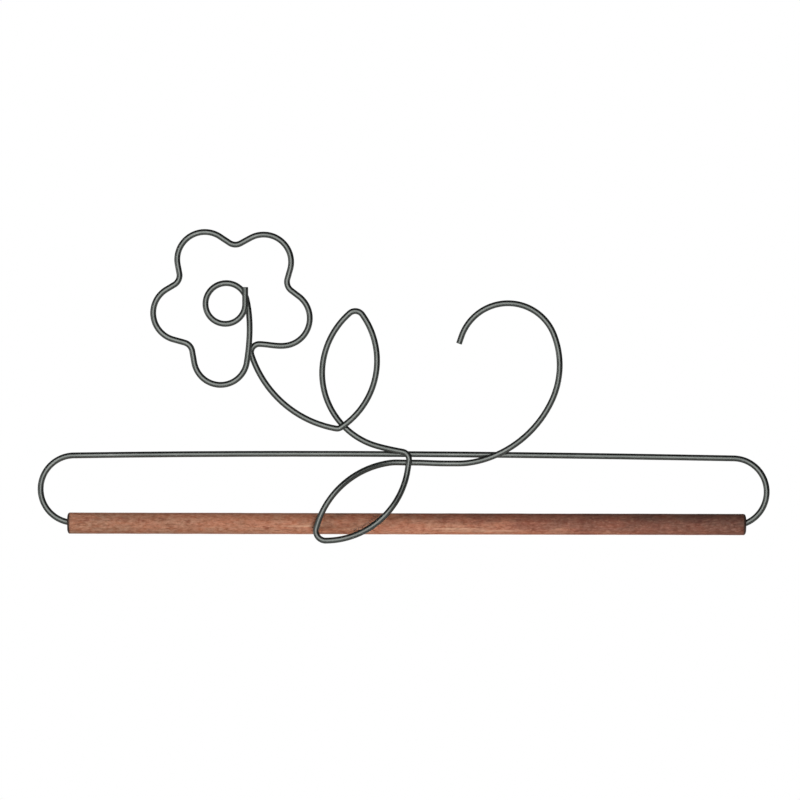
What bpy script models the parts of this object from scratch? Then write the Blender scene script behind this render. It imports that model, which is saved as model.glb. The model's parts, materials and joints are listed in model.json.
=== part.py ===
"""A wall hanger for a small quilt: sprung wire, a bent wire flower and a wooden dowel.

The bow is a wire with a straight top and a round bend at each end. Its two tips spring into blind
holes in the dowel, which turns on them. The ornament is one long wire, bent in the plane of the
bow and spot welded to its top: from its free end it draws the curl, runs under the top wire,
draws the lower leaf in front of the dowel, hops over the top wire, and draws the upper leaf, the
stem, the five petals and the ring in the middle of the flower.

X runs along the dowel, Z is up, and the front faces -Y. The origin is where a wall nail carries
the hanger: the underside of the wire in the top corner of the lower leaf, at the bow's middle.
"""

import math
from collections import namedtuple

import bpy
from mathutils import Vector

MM = 0.001

# Wire, and the gap between wires that cross and between the wire and the wood
WIRE_DIAMETER = 2.68 * MM
CLEARANCE = 0.3 * MM

# Dowel: a stock length of 12 in and a stock diameter of 3/8 in
DOWEL_LENGTH = 304.8 * MM
DOWEL_DIAMETER = 9.525 * MM
DOWEL_EDGE = 0.7 * MM
DOWEL_SHIFT = 1.4 * MM
DRILL_POINT_ANGLE = 118.0

# Bow: the end bends start inside the dowel, and its tips run on as straight pins
BEND_RADIUS = 15.1 * MM
BEND_INSET = 4.5 * MM
PIN_LENGTH = 5.0 * MM
PIN_END_PLAY = 2.5 * MM
LEFT_PIN_HEIGHT = 0.2 * MM
RIGHT_PIN_HEIGHT = -0.5 * MM
CROWN_RISE = 1.25 * MM

# Ornament: places are X and Z from the middle of the top wire. Angles are where a bend starts or
# ends, in degrees about its own centre, as seen from the front and counted from +X towards +Z
CURL_CENTRE = (46.7 * MM, 45.7 * MM)
CURL_RADIUS = 22.1 * MM
CURL_SIDE_RADIUS = 37.6 * MM
CURL_FOOT_RADIUS = 49.4 * MM
CURL_START_ANGLE = 161.0
CURL_SIDE_ANGLE = 21.7
CURL_FOOT_ANGLE = -24.9
CURL_END_ANGLE = -68.8
CURL_TIP_LENGTH = 3.5 * MM

RUN_DROP = 3.8 * MM
RUN_DIP = 0.35 * MM
RUN_START = 24.3 * MM
RUN_END = 1.0 * MM
RUN_FRONT_LENGTH = 6.0 * MM
RUN_BACK_LENGTH = 4.0 * MM

LOWER_LEAF_CENTRE = (-0.8 * MM, -43.15 * MM)
LOWER_LEAF_TOP_RADIUS = 39.6 * MM
LOWER_LEAF_TIP_RADIUS = 4.4 * MM
LOWER_LEAF_FOOT_RADIUS = 37.4 * MM
LOWER_LEAF_START_ANGLE = 98.0
LOWER_LEAF_CLEAR_ANGLE = 150.0
LOWER_LEAF_TIP_ANGLE = 165.6
LOWER_LEAF_FOOT_ANGLE = 270.5
LOWER_LEAF_RETURN_ANGLE = 315.0
LOWER_LEAF_END_ANGLE = 352.0
SLEEVE_GAP = 2.0 * MM

HOP_CENTRE = (-1.2 * MM, -2.45 * MM)
HOP_RADIUS = 3.6 * MM
HOP_START_ANGLE = -8.0
HOP_END_ANGLE = 80.0

RISER_CENTRE = (-3.1 * MM, 35.7 * MM)
RISER_RADIUS = 33.3 * MM
RISER_START_ANGLE = 255.0
UPPER_LEAF_LEFT_RADIUS = 34.1 * MM
UPPER_LEAF_LEFT_ANGLE = 231.5
UPPER_LEAF_BACK_END_ANGLE = 219.0
UPPER_LEAF_SHOULDER_RADIUS = 36.4 * MM
UPPER_LEAF_SHOULDER_ANGLE = 170.0
UPPER_LEAF_TIP_RADIUS = 3.9 * MM
UPPER_LEAF_TIP_ANGLE = 131.5
UPPER_LEAF_RIGHT_RADIUS = 35.7 * MM
UPPER_LEAF_RIGHT_ANGLE = 35.5
UPPER_LEAF_FRONT_ANGLE = -44.0
UPPER_LEAF_TURN_RADIUS = 3.0 * MM
UPPER_LEAF_TURN_ANGLE = -57.0
STEM_RADIUS = 48.9 * MM
STEM_START_ANGLE = -100.0
STEM_FRONT_END_ANGLE = -112.0
STEM_BACK_ANGLE = -150.0
FLOWER_FOOT_RADIUS = 3.75 * MM
FLOWER_FOOT_ANGLE = -161.9
FLOWER_FOOT_END_ANGLE = -272.0

# Flower: its centre is given from the centre of the bend at its foot. The petals leave a wider gap
# at the foot, where the stem comes in
FLOWER_OFFSET = (-12.4 * MM, 21.8 * MM)
PETAL_RADIUS = 12.35 * MM
PETAL_REACHES = (23.55 * MM, 23.5 * MM, 23.25 * MM, 23.3 * MM, 24.7 * MM)
FIRST_PETAL_ANGLE = -16.0
PETAL_STEP_ANGLE = 68.8
PETAL_START_ANGLE = -80.0
VALLEY_RADIUS = 4.85 * MM
VALLEY_FLANKS = (4.35 * MM, 5.05 * MM, 4.05 * MM, 5.2 * MM)
LAST_PETAL_TIGHT_RADIUS = 11.9 * MM
LAST_PETAL_TIGHT_ANGLE = -140.0
LAST_PETAL_END_ANGLE = -8.5

RING_OFFSET = (-2.45 * MM, -0.1 * MM)
RING_RADIUS = 9.3 * MM
RING_START_ANGLE = 13.4
RING_FRONT_END_ANGLE = 45.0
RING_CLOSING_RADIUS = 8.9 * MM
RING_CLOSING_ANGLE = 192.0
RING_NEAREST_ANGLE = 300.0
RING_END_ANGLE = 360.0
RING_TAIL = 7.6 * MM

# Where the wire moves from one depth to another it slopes evenly, and this share of its way is
# rounded at either end
SLOPE_ROUNDING = 0.3

# Facets
BEND_FACET_ANGLE = 9.0
RUN_FACETS = 5
DOWEL_FACETS = 32

WIRE_RADIUS = WIRE_DIAMETER / 2

# Depths of the wire's axis: in line with the top wire, one wire in front of it, two wires in
# front of it, and far enough in front of the dowel for the quilt's sleeve to pass between
BACK = 0.0
FRONT = -(WIRE_DIAMETER + CLEARANCE)
NEAREST = 2 * FRONT
OVER_DOWEL = -(DOWEL_DIAMETER / 2 + SLEEVE_GAP + WIRE_RADIUS)

# Heights that follow from the sizes above: the run under the top wire rests on the nail
TOP_WIRE_Z = RUN_DROP + WIRE_RADIUS
TOP_WIRE_HEIGHT = (LEFT_PIN_HEIGHT + RIGHT_PIN_HEIGHT) / 2 + 2 * BEND_RADIUS + CROWN_RISE
DOWEL_Z = TOP_WIRE_Z - TOP_WIRE_HEIGHT
BEND_X = DOWEL_LENGTH / 2 - BEND_INSET

# A bend turns about its centre from one angle to another, in degrees as seen from the front.
# A straight starts at a point. Where the depth is None the wire eases from depth to depth.
Bend = namedtuple("Bend", "centre radius start end depth")
Straight = namedtuple("Straight", "start heading length depth")


def unit(angle):
    """The direction of an angle in degrees, as a vector of X and Z."""
    return Vector((math.cos(math.radians(angle)), math.sin(math.radians(angle))))


def heading_in(stretch):
    """The way in which the wire enters a stretch, in degrees."""
    if isinstance(stretch, Straight):
        return stretch.heading
    return stretch.start + math.copysign(90, stretch.end - stretch.start)


def heading_out(stretch):
    """The way in which the wire leaves a stretch, in degrees."""
    if isinstance(stretch, Straight):
        return stretch.heading
    return stretch.end + math.copysign(90, stretch.end - stretch.start)


def compound(centre, start, steps):
    """Bends that run into each other, each as (radius, angle where it ends, depth)."""
    centre = Vector(centre)
    bends = []
    for radius, end, depth in steps:
        if bends:
            centre = centre + (bends[-1].radius - radius) * unit(start)
        bends.append(Bend(centre.copy(), radius, start, end, depth))
        start = end
    return bends


def stretch_points(stretch):
    """Points along a bend or a straight, both ends included."""
    if isinstance(stretch, Straight):
        start = Vector(stretch.start)
        return [start, start + stretch.length * unit(stretch.heading)]
    sweep = stretch.end - stretch.start
    count = max(2, math.ceil(abs(sweep) / BEND_FACET_ANGLE))
    angles = [stretch.start + sweep * i / count for i in range(count + 1)]
    return [stretch.centre + stretch.radius * unit(angle) for angle in angles]


def run_points(start, heading, end, end_heading):
    """Points between two stretches, on the cubic curve that leaves one and enters the other."""
    turn = (end_heading - heading + 180) % 360 - 180
    handle = (end - start).length / (3 * math.cos(math.radians(turn) / 4) ** 2)
    first = start + handle * unit(heading)
    second = end - handle * unit(end_heading)
    points = []
    for i in range(1, RUN_FACETS):
        t = i / RUN_FACETS
        s = 1 - t
        points.append(s**3 * start + 3 * s * s * t * first + 3 * s * t * t * second + t**3 * end)
    return points


def slope_share(t):
    """How much of a change of depth is done at a share of its length."""
    nearest = min(t, 1 - t)
    if nearest < SLOPE_ROUNDING:
        done = nearest ** 2 / (2 * SLOPE_ROUNDING * (1 - SLOPE_ROUNDING))
        return done if t < 0.5 else 1 - done
    return (t - SLOPE_ROUNDING / 2) / (1 - SLOPE_ROUNDING)


def ease_depths(lengths, depths):
    """Fill in the depths that are None, easing along the wire from one known depth to the next."""
    known = [i for i, depth in enumerate(depths) if depth is not None]
    eased = list(depths)
    for before, after in zip(known, known[1:]):
        for i in range(before + 1, after):
            t = (lengths[i] - lengths[before]) / (lengths[after] - lengths[before])
            eased[i] = depths[before] + slope_share(t) * (depths[after] - depths[before])
    return eased


def route(stretches):
    """The wire's axis through all stretches, as points in space."""
    flat = []
    depths = []
    for i, stretch in enumerate(stretches):
        points = stretch_points(stretch)
        if flat:
            gap = (points[0] - flat[-1]).length
            if gap > 0.01 * MM:
                heading = heading_out(stretches[i - 1])
                between = run_points(flat[-1], heading, points[0], heading_in(stretch))
                flat += between
                depths += [None] * len(between)
            else:
                points = points[1:]
                if depths[-1] is None:
                    depths[-1] = stretch.depth
        flat += points
        depths += [stretch.depth] * len(points)
    lengths = [0.0]
    for before, after in zip(flat, flat[1:]):
        lengths.append(lengths[-1] + (after - before).length)
    eased = ease_depths(lengths, depths)
    return [Vector((point.x, depth, point.y)) for point, depth in zip(flat, eased)]


def from_top_wire(place):
    """A place given from the middle of the top wire, as X and Z in the part's frame."""
    return Vector((place[0], place[1] + TOP_WIRE_Z))


def bow_stretches():
    """Pin, end bend, crowned top wire, end bend and pin, from left to right."""
    crown_angle = 2 * math.degrees(math.atan(CROWN_RISE / BEND_X))
    left_pin_z = DOWEL_Z + LEFT_PIN_HEIGHT
    right_pin_z = DOWEL_Z + RIGHT_PIN_HEIGHT
    left_centre = Vector((-BEND_X, left_pin_z + BEND_RADIUS))
    right_centre = Vector((BEND_X, right_pin_z + BEND_RADIUS))
    return [
        Straight((PIN_LENGTH - BEND_X, left_pin_z), 180, PIN_LENGTH, BACK),
        Bend(left_centre, BEND_RADIUS, 270, 90 + crown_angle, BACK),
        Bend(right_centre, BEND_RADIUS, 90 - crown_angle, -90, BACK),
        Straight((BEND_X, right_pin_z), 180, PIN_LENGTH, BACK),
    ]


def curl_stretches():
    """The open curl, which widens from its straight tip down to the top wire and passes before it."""
    bends = compound(from_top_wire(CURL_CENTRE), CURL_START_ANGLE, [
        (CURL_RADIUS, CURL_SIDE_ANGLE, FRONT),
        (CURL_SIDE_RADIUS, CURL_FOOT_ANGLE, FRONT),
        (CURL_FOOT_RADIUS, CURL_END_ANGLE, FRONT),
    ])
    heading = heading_in(bends[0])
    tip = bends[0].centre + CURL_RADIUS * unit(CURL_START_ANGLE) - CURL_TIP_LENGTH * unit(heading)
    return [Straight(tip, heading, CURL_TIP_LENGTH, FRONT)] + bends


def run_stretches():
    """The run under the top wire: it moves back into line with it before the leaf crosses."""
    front_start = from_top_wire((RUN_START, -RUN_DROP - RUN_DIP))
    back_start = from_top_wire((RUN_END + RUN_BACK_LENGTH, -RUN_DROP))
    return [
        Straight(front_start, 180, RUN_FRONT_LENGTH, None),
        Straight(back_start, 180, RUN_BACK_LENGTH, BACK),
    ]


def lower_leaf_stretches():
    """The leaf that hangs in front of the dowel, drawn from its top corner and back to it."""
    return compound(from_top_wire(LOWER_LEAF_CENTRE), LOWER_LEAF_START_ANGLE, [
        (LOWER_LEAF_TOP_RADIUS, LOWER_LEAF_CLEAR_ANGLE, None),
        (LOWER_LEAF_TOP_RADIUS, LOWER_LEAF_TIP_ANGLE, OVER_DOWEL),
        (LOWER_LEAF_TIP_RADIUS, LOWER_LEAF_FOOT_ANGLE, OVER_DOWEL),
        (LOWER_LEAF_FOOT_RADIUS, LOWER_LEAF_RETURN_ANGLE, OVER_DOWEL),
        (LOWER_LEAF_FOOT_RADIUS, LOWER_LEAF_END_ANGLE, None),
    ])


def hop_stretches():
    """The tight bend with which the wire passes in front of the top wire and turns left."""
    return [Bend(from_top_wire(HOP_CENTRE), HOP_RADIUS, HOP_START_ANGLE, HOP_END_ANGLE, FRONT)]


def upper_leaf_stretches():
    """The riser, the upper leaf, the stem and the bend at the flower's foot, all one way round."""
    return compound(from_top_wire(RISER_CENTRE), RISER_START_ANGLE, [
        (RISER_RADIUS, UPPER_LEAF_LEFT_ANGLE, None),
        (UPPER_LEAF_LEFT_RADIUS, UPPER_LEAF_BACK_END_ANGLE, BACK),
        (UPPER_LEAF_LEFT_RADIUS, UPPER_LEAF_SHOULDER_ANGLE, None),
        (UPPER_LEAF_SHOULDER_RADIUS, UPPER_LEAF_TIP_ANGLE, None),
        (UPPER_LEAF_TIP_RADIUS, UPPER_LEAF_RIGHT_ANGLE, None),
        (UPPER_LEAF_RIGHT_RADIUS, UPPER_LEAF_FRONT_ANGLE, None),
        (UPPER_LEAF_RIGHT_RADIUS, UPPER_LEAF_TURN_ANGLE, FRONT),
        (UPPER_LEAF_TURN_RADIUS, STEM_START_ANGLE, FRONT),
        (STEM_RADIUS, STEM_FRONT_END_ANGLE, FRONT),
        (STEM_RADIUS, STEM_BACK_ANGLE, None),
        (STEM_RADIUS, FLOWER_FOOT_ANGLE, BACK),
        (FLOWER_FOOT_RADIUS, FLOWER_FOOT_END_ANGLE, BACK),
    ])


def flower_centre():
    """The middle of the petals, which follows the bend at the flower's foot."""
    return upper_leaf_stretches()[-1].centre + Vector(FLOWER_OFFSET)


def angle_of(vector):
    """The angle of a vector of X and Z, in degrees from 0 to 360."""
    return math.degrees(math.atan2(vector.y, vector.x)) % 360


def flower_stretches():
    """Five petals, and between them four tight valleys with straight flanks."""
    centre = flower_centre()
    petals = []
    for i, reach in enumerate(PETAL_REACHES):
        petals.append(centre + reach * unit(FIRST_PETAL_ANGLE + PETAL_STEP_ANGLE * i))
    stretches = []
    start = PETAL_START_ANGLE
    for petal, following, flank in zip(petals, petals[1:], VALLEY_FLANKS):
        across = following - petal
        outward = Vector((across.y, -across.x)).normalized()
        reach = math.hypot(PETAL_RADIUS + VALLEY_RADIUS, flank)
        height = math.sqrt(reach ** 2 - (across.length / 2) ** 2)
        valley = (petal + following) / 2 + height * outward
        flank_angle = math.degrees(math.atan2(flank, PETAL_RADIUS + VALLEY_RADIUS))
        petal_end = angle_of(valley - petal) - flank_angle
        petal_end += 360 * math.ceil((start - petal_end) / 360)
        valley_start = petal_end + 180
        valley_end = angle_of(following - valley) + flank_angle
        valley_end += 360 * math.floor((valley_start - valley_end) / 360)
        depth = None if stretches else BACK
        stretches.append(Bend(petal, PETAL_RADIUS, start, petal_end, depth))
        stretches.append(Bend(valley, VALLEY_RADIUS, valley_start, valley_end, None))
        start = valley_end + 180
    turns = 360 * math.ceil((start - LAST_PETAL_TIGHT_ANGLE) / 360)
    return stretches + compound(petals[-1], start, [
        (PETAL_RADIUS, LAST_PETAL_TIGHT_ANGLE + turns, FRONT),
        (LAST_PETAL_TIGHT_RADIUS, LAST_PETAL_END_ANGLE + turns, FRONT),
    ])


def ring_stretches():
    """The ring in the flower's middle, one turn that ends as a cut tip in front of its start."""
    bends = compound(flower_centre() + Vector(RING_OFFSET), RING_START_ANGLE, [
        (RING_RADIUS, RING_FRONT_END_ANGLE, FRONT),
        (RING_RADIUS, RING_CLOSING_ANGLE, None),
        (RING_CLOSING_RADIUS, RING_NEAREST_ANGLE, None),
        (RING_CLOSING_RADIUS, RING_END_ANGLE, NEAREST),
    ])
    tail_start = bends[-1].centre + RING_CLOSING_RADIUS * unit(RING_END_ANGLE)
    return bends + [Straight(tail_start, heading_out(bends[-1]), RING_TAIL, NEAREST)]


def ornament_stretches():
    """The whole ornament wire, from the curl's free end to the ring's cut tip."""
    return (
        curl_stretches()
        + run_stretches()
        + lower_leaf_stretches()
        + hop_stretches()
        + upper_leaf_stretches()
        + flower_stretches()
        + ring_stretches()
    )


def hole_radius():
    """The radius of the dowel's end holes, which clears the sloping wire at both faces."""
    radii = []
    for pin_height, shift in ((LEFT_PIN_HEIGHT, -DOWEL_SHIFT), (RIGHT_PIN_HEIGHT, DOWEL_SHIFT)):
        reach = BEND_INSET + shift
        slope = math.asin(reach / BEND_RADIUS)
        rise = pin_height + BEND_RADIUS * (1 - math.cos(slope))
        radii.append(abs(rise) + WIRE_RADIUS / math.cos(slope))
        radii.append(abs(pin_height) + WIRE_RADIUS)
    return max(radii) + CLEARANCE


def make_collection(name):
    """A collection in the scene for the hanger's pieces."""
    collection = bpy.data.collections.new(name)
    bpy.context.scene.collection.children.link(collection)
    return collection


def make_material(name, colour, roughness, metallic):
    """A plain finish with the piece's colour."""
    material = bpy.data.materials.new(name)
    material.use_nodes = True
    shader = material.node_tree.nodes["Principled BSDF"]
    shader.inputs["Base Color"].default_value = (*colour, 1.0)
    shader.inputs["Roughness"].default_value = roughness
    shader.inputs["Metallic"].default_value = metallic
    material.diffuse_color = (*colour, 1.0)
    return material


def make_wire(name, points, material, collection):
    """A round wire with square cut ends along the points."""
    curve = bpy.data.curves.new(name, "CURVE")
    curve.dimensions = "3D"
    curve.bevel_depth = WIRE_RADIUS
    curve.bevel_resolution = 3
    curve.use_fill_caps = True
    spline = curve.splines.new("POLY")
    spline.points.add(len(points) - 1)
    for spline_point, point in zip(spline.points, points):
        spline_point.co = (*point, 1.0)
    curve.materials.append(material)
    wire = bpy.data.objects.new(name, curve)
    collection.objects.link(wire)
    return wire


def make_dowel(material, collection):
    """The turned dowel with eased ends and a drilled hole in each, on its own axis of turning."""
    end = DOWEL_LENGTH / 2
    outer = DOWEL_DIAMETER / 2
    bore = hole_radius()
    bore_end = end - (BEND_INSET + DOWEL_SHIFT + PIN_LENGTH + PIN_END_PLAY)
    point_end = bore_end - bore / math.tan(math.radians(DRILL_POINT_ANGLE / 2))
    upper_half = [
        (0, point_end),
        (bore, bore_end),
        (bore, end),
        (outer - DOWEL_EDGE, end),
        (outer, end - DOWEL_EDGE),
    ]
    lower_half = [(x, -z) for x, z in reversed(upper_half)]
    profile = upper_half + lower_half
    mesh = bpy.data.meshes.new("dowel")
    edges = [(i, i + 1) for i in range(len(profile) - 1)]
    mesh.from_pydata([(x, 0, z) for x, z in profile], edges, [])
    mesh.materials.append(material)
    dowel = bpy.data.objects.new("dowel", mesh)
    screw = dowel.modifiers.new("turning", "SCREW")
    screw.steps = DOWEL_FACETS
    screw.render_steps = DOWEL_FACETS
    screw.use_merge_vertices = True
    screw.merge_threshold = 0.01 * MM
    dowel.location = (DOWEL_SHIFT, 0, DOWEL_Z)
    dowel.rotation_euler = (0, math.radians(90), 0)
    collection.objects.link(dowel)
    return dowel


def build():
    """Clear the scene and build the three pieces."""
    for item in list(bpy.data.objects):
        bpy.data.objects.remove(item)
    collection = make_collection("quilt_hanger")
    pewter = make_material("pewter_paint", (0.13, 0.14, 0.125), 0.4, 0.6)
    wood = make_material("stained_wood", (0.30, 0.13, 0.08), 0.55, 0.0)
    make_wire("bow", route(bow_stretches()), pewter, collection)
    make_wire("ornament", route(ornament_stretches()), pewter, collection)
    make_dowel(wood, collection)


build()
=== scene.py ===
"""Looks of a wire quilt hanger: a bow, a flower bent from one wire, and a stained dowel."""

import math
from collections import namedtuple

import bmesh
import bpy
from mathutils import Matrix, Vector, noise
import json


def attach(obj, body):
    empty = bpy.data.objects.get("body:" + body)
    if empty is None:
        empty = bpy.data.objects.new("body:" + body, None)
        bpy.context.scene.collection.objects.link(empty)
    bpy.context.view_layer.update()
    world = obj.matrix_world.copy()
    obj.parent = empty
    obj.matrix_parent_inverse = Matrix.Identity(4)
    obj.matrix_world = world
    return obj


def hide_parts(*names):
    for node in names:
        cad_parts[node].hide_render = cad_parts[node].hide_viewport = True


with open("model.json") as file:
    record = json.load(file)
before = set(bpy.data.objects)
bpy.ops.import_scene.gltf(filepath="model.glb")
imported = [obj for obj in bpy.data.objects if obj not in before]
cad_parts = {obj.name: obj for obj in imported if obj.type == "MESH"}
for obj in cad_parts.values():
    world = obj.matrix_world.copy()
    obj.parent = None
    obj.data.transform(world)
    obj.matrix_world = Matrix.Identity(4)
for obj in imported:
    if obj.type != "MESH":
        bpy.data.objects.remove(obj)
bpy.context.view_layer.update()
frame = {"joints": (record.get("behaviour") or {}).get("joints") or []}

# Bow
# One length of 12 gauge steel wire with a round bend at each end, bent open enough to spring its
# two cut tips into the dowel. It is painted pewter grey together with the ornament.
MM = 0.001
WIRE_RADIUS = 1.34 * MM
WIRE_GAP = 0.3 * MM
RUN_DROP = 3.8 * MM
TOP_WIRE_Z = RUN_DROP + WIRE_RADIUS
DOWEL_AXIS = Vector(frame["joints"][0]["pos_m"])
BEND_RADIUS = 15.1 * MM
BEND_X = 147.9 * MM
PIN_LENGTH = 5.0 * MM
LEFT_PIN_HEIGHT = 0.2 * MM
RIGHT_PIN_HEIGHT = -0.5 * MM
CROWN_RISE = 1.25 * MM
BEND_STEP_ANGLE = 3.0
RUN_STEPS = 12
STRAIGHT_STEPS = 8
WIRE_SIDES = 32
CUT_EASE = 0.35 * MM
CUT_EASE_STEPS = (0.1, 0.25, 0.45, 0.7, 1.0)
CUT_FACE = 0.86
CUT_RIM_ANGLE = 50
TOLERANCE = 0.01 * MM
SLOPE_ROUNDING = 0.3
BACK = 0.0
FRONT = -(2 * WIRE_RADIUS + WIRE_GAP)

# A bend turns about its centre from one angle to another, in degrees as seen from the front.
# Where the depth is None the wire eases from the depth before it to the depth after it.
Bend = namedtuple("Bend", "centre radius start end depth")
Straight = namedtuple("Straight", "start heading length depth")


def unit(angle):
    """The direction of an angle in degrees, as a vector of X and Z."""
    return Vector((math.cos(math.radians(angle)), math.sin(math.radians(angle))))


def heading_at(stretch, angle):
    """The way in which the wire runs where a bend passes an angle, or along a straight."""
    if isinstance(stretch, Straight):
        return stretch.heading
    return angle + math.copysign(90, stretch.end - stretch.start)


def stretch_points(stretch):
    """Points along a bend or a straight, both ends included."""
    if isinstance(stretch, Straight):
        start = Vector(stretch.start)
        steps = [stretch.length * i / STRAIGHT_STEPS for i in range(STRAIGHT_STEPS + 1)]
        return [start + step * unit(stretch.heading) for step in steps]
    sweep = stretch.end - stretch.start
    count = max(3, math.ceil(abs(sweep) / BEND_STEP_ANGLE))
    angles = [stretch.start + sweep * i / count for i in range(count + 1)]
    return [stretch.centre + stretch.radius * unit(angle) for angle in angles]


def run_points(start, heading, end, end_heading):
    """Points between two stretches, on the cubic curve that leaves one and enters the other."""
    turn = (end_heading - heading + 180) % 360 - 180
    handle = (end - start).length / (3 * math.cos(math.radians(turn) / 4) ** 2)
    first = start + handle * unit(heading)
    second = end - handle * unit(end_heading)
    points = []
    for i in range(1, RUN_STEPS):
        t = i / RUN_STEPS
        s = 1 - t
        points.append(s**3 * start + 3 * s * s * t * first + 3 * s * t * t * second + t**3 * end)
    return points


def slope_share(t):
    """How much of a change of depth is done at a share of its length, on a rounded slope."""
    nearest = min(t, 1 - t)
    if nearest < SLOPE_ROUNDING:
        done = nearest ** 2 / (2 * SLOPE_ROUNDING * (1 - SLOPE_ROUNDING))
        return done if t < 0.5 else 1 - done
    return (t - SLOPE_ROUNDING / 2) / (1 - SLOPE_ROUNDING)


def route(stretches):
    """The wire's axis through all stretches, as points in space."""
    flat = []
    depths = []
    for i, stretch in enumerate(stretches):
        points = stretch_points(stretch)
        if flat and (points[0] - flat[-1]).length > TOLERANCE:
            before = stretches[i - 1]
            heading = heading_at(before, getattr(before, "end", None))
            entry = heading_at(stretch, getattr(stretch, "start", None))
            between = run_points(flat[-1], heading, points[0], entry)
            flat += between
            depths += [None] * len(between)
        elif flat:
            points = points[1:]
            depths[-1] = stretch.depth if depths[-1] is None else depths[-1]
        flat += points
        depths += [stretch.depth] * len(points)
    lengths = [0.0]
    for before, after in zip(flat, flat[1:]):
        lengths.append(lengths[-1] + (after - before).length)
    known = [i for i, depth in enumerate(depths) if depth is not None]
    for before, after in zip(known, known[1:]):
        for i in range(before + 1, after):
            t = (lengths[i] - lengths[before]) / (lengths[after] - lengths[before])
            depths[i] = depths[before] + slope_share(t) * (depths[after] - depths[before])
    return [Vector((point.x, depth, point.y)) for point, depth in zip(flat, depths)]


def put(tree, kind, inputs=None, **settings):
    """A new node with its settings, and its inputs fed by sockets or plain values."""
    node = tree.nodes.new(kind)
    for name, value in settings.items():
        setattr(node, name, value)
    for name, value in (inputs or {}).items():
        if isinstance(value, bpy.types.NodeSocket):
            tree.links.new(value, node.inputs[name])
        else:
            node.inputs[name].default_value = value
    return node


def calc(tree, operation, *values):
    """One step of arithmetic on sockets or numbers."""
    return put(tree, "ShaderNodeMath", dict(enumerate(values)), operation=operation).outputs[0]


def open_socket(tree, name, kind, side="INPUT"):
    """A named socket on the outside of a node group."""
    tree.interface.new_socket(name, in_out=side, socket_type=kind)


def drawn_wire_tree():
    """Sweep a round section along a curve, ease its cut rims and mark length and section."""
    tree = bpy.data.node_groups.new("drawn wire", "GeometryNodeTree")
    open_socket(tree, "Axis", "NodeSocketGeometry")
    open_socket(tree, "Wire radius", "NodeSocketFloat")
    open_socket(tree, "Sides", "NodeSocketInt")
    open_socket(tree, "Cut ease", "NodeSocketFloat")
    open_socket(tree, "Cut face", "NodeSocketFloat")
    open_socket(tree, "Finish", "NodeSocketMaterial")
    open_socket(tree, "Wire", "NodeSocketGeometry", "OUTPUT")
    given = put(tree, "NodeGroupInput").outputs
    along = put(tree, "GeometryNodeSplineParameter").outputs["Length"]
    total = put(tree, "GeometryNodeSplineLength").outputs["Length"]
    from_end = calc(tree, "MINIMUM", along, calc(tree, "SUBTRACT", total, along))
    share = calc(tree, "MINIMUM", calc(tree, "DIVIDE", from_end, given["Cut ease"]), 1.0)
    inward = calc(tree, "SUBTRACT", 1.0, share)
    rise = calc(tree, "SUBTRACT", 1.0, calc(tree, "MULTIPLY", inward, inward))
    round_rim = calc(tree, "SQRT", calc(tree, "MAXIMUM", rise, 0.0))
    spare = calc(tree, "SUBTRACT", 1.0, given["Cut face"])
    swell = calc(tree, "MULTIPLY_ADD", round_rim, spare, given["Cut face"])
    marked = put(tree, "GeometryNodeStoreNamedAttribute", {
        "Geometry": given["Axis"],
        "Name": "along",
        "Value": along,
    })
    circle = put(tree, "GeometryNodeCurvePrimitiveCircle", {
        "Resolution": given["Sides"],
        "Radius": given["Wire radius"],
    })
    place = put(tree, "GeometryNodeInputPosition").outputs["Position"]
    around = put(tree, "ShaderNodeVectorMath", {"Vector": place}, operation="NORMALIZE")
    section = put(tree, "GeometryNodeStoreNamedAttribute", {
        "Geometry": circle.outputs["Curve"],
        "Name": "section",
    }, data_type="FLOAT_VECTOR")
    tree.links.new(around.outputs["Vector"], section.inputs["Value"])
    sweep = put(tree, "GeometryNodeCurveToMesh", {
        "Curve": marked.outputs["Geometry"],
        "Profile Curve": section.outputs["Geometry"],
        "Scale": swell,
        "Fill Caps": True,
    })
    smooth = put(tree, "GeometryNodeSetShadeSmooth", {"Geometry": sweep.outputs["Mesh"]})
    realize = put(tree, "GeometryNodeRealizeInstances", {"Geometry": smooth.outputs["Geometry"]})
    finish = put(tree, "GeometryNodeSetMaterial", {
        "Geometry": realize.outputs["Geometry"],
        "Material": given["Finish"],
    })
    put(tree, "NodeGroupOutput", {"Wire": finish.outputs["Geometry"]})
    return tree


drawn_wire = drawn_wire_tree()


def grown_mesh(name, data, tree, **values):
    """The plain mesh that a tree makes from some data, with the tree's inputs given by name."""
    guide = bpy.data.objects.new(name + " guide", data)
    bpy.context.scene.collection.objects.link(guide)
    modifier = guide.modifiers.new(name, "NODES")
    modifier.node_group = tree
    for item in tree.interface.items_tree:
        key = item.name.replace(" ", "_").lower()
        if key in values:
            modifier[item.identifier] = values[key]
    evaluated = guide.evaluated_get(bpy.context.evaluated_depsgraph_get())
    mesh = bpy.data.meshes.new_from_object(evaluated)
    bpy.data.objects.remove(guide)
    mesh.name = name
    piece = bpy.data.objects.new(name, mesh)
    bpy.context.scene.collection.objects.link(piece)
    return piece


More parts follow.
